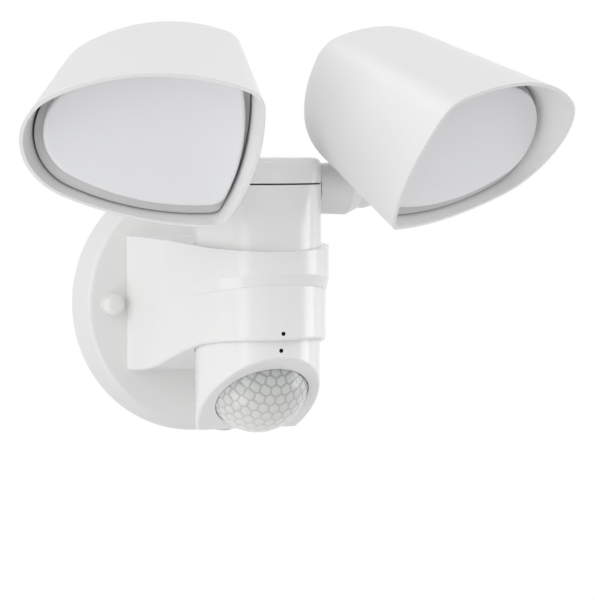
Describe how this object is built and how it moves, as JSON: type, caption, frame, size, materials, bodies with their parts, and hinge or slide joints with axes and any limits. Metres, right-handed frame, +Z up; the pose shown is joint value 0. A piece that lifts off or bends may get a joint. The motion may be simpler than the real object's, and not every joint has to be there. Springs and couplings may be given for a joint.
{
  "type": "motion sensor security light",
  "caption": "Wall-mounted security light with hooded lamp heads on swivel arms, a cylindrical housing in a bracket collar and a turning motion sensor with a faceted dome.",
  "frame": {"origin": "centre of the canopy's open back, on the wall face", "axes": "+Z up, -Y out from the wall towards the front, +X to the right seen from the front"},
  "size_m": [0.2656, 0.1946, 0.1951],
  "materials": {
    "canopy_white": "semi-gloss white",
    "body_white": "semi-gloss white",
    "shade_white": "satin white powder coat",
    "arm_white": "satin white powder coat",
    "diffuser_opal": "opal, slightly blue",
    "lens_opal": "milky polyethylene",
    "nut_white": "gloss white",
    "zinc_steel": "zinc plated",
    "screw_steel": "stainless",
    "eyelet_brass": "bare",
    "ground_green": "green",
    "gasket_foam": "closed-cell foam",
    "seal_rubber": "matte black",
    "board_green": "solder mask",
    "board_white": "white solder mask",
    "led_yellow": "phosphor",
    "tray_white": "white paint on cast metal",
    "carrier_black": "black",
    "detector_metal": "nickel plated",
    "knob_white": "white"
  },
  "bodies": {
    "base": {"wall_canopy": "canopy_white", "canopy_gasket": "gasket_foam", "mounting_strap": "zinc_steel", "stud_strap": "zinc_steel", "strap_eyelet": "eyelet_brass", "canopy_studs": "zinc_steel", "cap_nuts": "nut_white", "ground_screw": "ground_green", "arm_bracket": "body_white", "arm_screws": "screw_steel", "housing_screws": "screw_steel", "upper_housing": "body_white", "top_cap": "body_white", "cap_screws": "screw_steel", "cap_seal": "seal_rubber", "driver_board": "board_green"},
    "sensor": {"sensor_housing": "body_white", "sensor_neck": "body_white", "neck_retainer": "carrier_black", "pir_lens": "lens_opal", "lens_carrier": "carrier_black", "pir_board": "board_green", "pir_detector": "detector_metal", "control_board": "board_green"},
    "time_dial": {"time_knob": "knob_white"},
    "range_dial": {"range_knob": "knob_white"},
    "arm_right": {"swivel_arm_right": "arm_white"},
    "head_right": {"head_stem_right": "arm_white", "stem_nut_right": "zinc_steel", "stem_washer_right": "screw_steel", "stem_screw_right": "screw_steel", "lamp_shade_right": "shade_white", "led_tray_right": "tray_white", "tray_screws_right": "screw_steel", "led_board_right": "board_white", "led_emitters_right": "led_yellow", "diffuser_seal_right": "seal_rubber", "diffuser_right": "diffuser_opal"},
    "arm_left": {"swivel_arm_left": "arm_white"},
    "head_left": {"head_stem_left": "arm_white", "stem_nut_left": "zinc_steel", "stem_washer_left": "screw_steel", "stem_screw_left": "screw_steel", "lamp_shade_left": "shade_white", "led_tray_left": "tray_white", "tray_screws_left": "screw_steel", "led_board_left": "board_white", "led_emitters_left": "led_yellow", "diffuser_seal_left": "seal_rubber", "diffuser_left": "diffuser_opal"}
  },
  "joints": [
    {"name": "sensor_turn", "type": "hinge", "parent": "base", "child": "sensor", "pos_m": [0, -0.081, -0.02], "axis": [0, 0, 1], "range_deg": [-45, 45]},
    {"name": "time_turn", "type": "hinge", "parent": "sensor", "child": "time_dial", "pos_m": [-0.0095, -0.0615, -0.056], "axis": [0, 0, 1], "range_deg": [0, 270]},
    {"name": "range_turn", "type": "hinge", "parent": "sensor", "child": "range_dial", "pos_m": [0.0095, -0.0615, -0.056], "axis": [0, 0, 1], "range_deg": [0, 270]},
    {"name": "tilt_right", "type": "hinge", "parent": "base", "child": "arm_right", "pos_m": [0.04, -0.081, 0.0559], "axis": [1, 0, 0], "range_deg": [-40, 15]},
    {"name": "pan_right", "type": "hinge", "parent": "arm_right", "child": "head_right", "pos_m": [0.052, -0.081, 0.0559], "axis": [0, -0.4179, 0.9085], "range_deg": [-8, 40]},
    {"name": "tilt_left", "type": "hinge", "parent": "base", "child": "arm_left", "pos_m": [-0.04, -0.081, 0.0559], "axis": [1, 0, 0], "range_deg": [-40, 15]},
    {"name": "pan_left", "type": "hinge", "parent": "arm_left", "child": "head_left", "pos_m": [-0.052, -0.081, 0.0559], "axis": [0, 0.3891, -0.9212], "range_deg": [-8, 40]}
  ]
}
